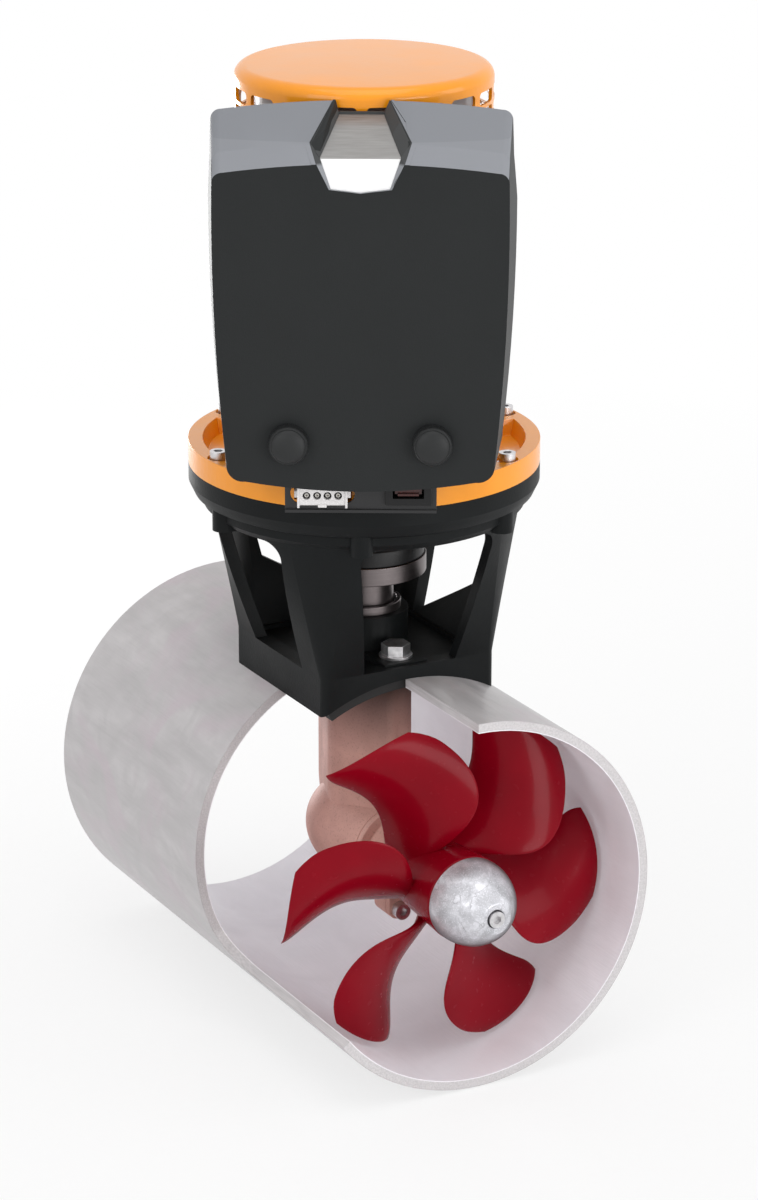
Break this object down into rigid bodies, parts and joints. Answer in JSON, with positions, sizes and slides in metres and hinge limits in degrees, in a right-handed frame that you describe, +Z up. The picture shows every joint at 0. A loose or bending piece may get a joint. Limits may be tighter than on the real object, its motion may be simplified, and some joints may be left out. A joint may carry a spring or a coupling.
{
  "type": "bow thruster",
  "caption": "Electric tunnel thruster: motor under a cap and cover on a flanged bracket, coupling and bevel-geared tail driving a bladed propeller in a cut-away tube.",
  "frame": {"origin": "where the motor's upright axis crosses the tunnel's axis", "axes": "+X along the tunnel axis towards the propeller, +Z up along the motor shaft"},
  "size_m": [0.3045, 0.208, 0.5015],
  "materials": {
    "fibreglass": "satin glass-fibre laminate",
    "black_filler": "matte",
    "bronze": "matte sand casting",
    "rubber": "matte",
    "bracket_paint": "satin charcoal paint on a casting",
    "orange_paint": "gloss orange paint",
    "fasteners": "bright zinc plate",
    "machined_steel": "turned",
    "motor_grey": "satin grey paint",
    "magnet": "matte ferrite",
    "armature_iron": "varnished laminations",
    "copper": "bright copper",
    "carbon": "matte carbon",
    "insulator": "moulded insulation",
    "relay_can": "gloss black",
    "propeller_red": "gloss crimson",
    "zinc": "mottled cast metal",
    "cover_plastic": "fine-textured charcoal",
    "emblem": "brushed",
    "knob_black": "satin black",
    "panel_steel": "dark grey paint",
    "connector_white": "natural white",
    "contact_metal": "tinned",
    "fuse_black": "black",
    "fuse_clear": "tinted"
  },
  "bodies": {
    "housing": {"tunnel": "fibreglass", "saddle_shim": "black_filler", "tail_leg": "bronze", "gearcase_cap": "bronze", "tail_gasket": "rubber", "lip_seal": "rubber", "prop_seal": "rubber", "bracket": "bracket_paint", "motor_flange": "orange_paint", "motor_cap": "orange_paint", "gearcase_cap_screw": "fasteners", "base_bolts": "fasteners", "flange_washers": "fasteners", "flange_screws": "fasteners", "cover_studs": "fasteners", "relay_plate": "fasteners", "seal_ring": "machined_steel", "motor_lower_bearing": "machined_steel", "motor_upper_bearing": "machined_steel", "drive_shaft_bearing": "machined_steel", "pinion_bearing": "machined_steel", "prop_front_bearing": "machined_steel", "prop_rear_bearing": "machined_steel", "motor_housing": "motor_grey", "end_bell": "motor_grey", "cap_ledge": "motor_grey", "field_magnets": "magnet", "relay_studs": "copper", "bus_bar": "copper", "power_studs": "copper", "brushes": "carbon", "brush_gear": "insulator", "terminal_block": "insulator", "control_module": "insulator", "relays": "relay_can", "connector_panel": "panel_steel", "connector": "connector_white", "connector_pins": "contact_metal", "fuse_holder": "fuse_black", "fuse": "fuse_clear"},
    "drive_line": {"motor_shaft": "machined_steel", "armature": "armature_iron", "commutator": "copper", "upper_coupling": "machined_steel", "coupling_rubber": "rubber", "lower_coupling": "machined_steel", "drive_shaft": "machined_steel", "pinion": "machined_steel"},
    "prop_line": {"crown_gear": "machined_steel", "prop_shaft": "machined_steel", "propeller": "propeller_red", "anode": "zinc", "anode_screw": "fasteners"},
    "cover": {"cover": "cover_plastic", "emblem_plate": "emblem"},
    "left_nut": {"thumb_nut_left": "knob_black"},
    "right_nut": {"thumb_nut_right": "knob_black"}
  },
  "joints": [
    {"name": "drive_spin", "type": "hinge", "parent": "housing", "child": "drive_line", "pos_m": [0, 0, 0.15], "axis": [0, 0, 1], "continuous": true},
    {"name": "prop_spin", "type": "hinge", "parent": "housing", "child": "prop_line", "pos_m": [0.08, 0, 0], "axis": [1, 0, 0], "continuous": true},
    {"name": "cover_lift_off", "type": "slide", "parent": "housing", "child": "cover", "axis": [0.8746, -0.4848, 0], "range_m": [0, 0.15]},
    {"name": "left_nut_turn", "type": "hinge", "parent": "cover", "child": "left_nut", "pos_m": [0.07511, -0.08108, 0.2385], "axis": [0.8746, -0.4848, 0], "continuous": true},
    {"name": "right_nut_turn", "type": "hinge", "parent": "cover", "child": "right_nut", "pos_m": [0.10856, -0.02073, 0.2385], "axis": [0.8746, -0.4848, 0], "continuous": true}
  ],
  "couplings": [
    {"joint": "prop_spin", "follows": "drive_spin", "ratio": -0.66667}
  ]
}
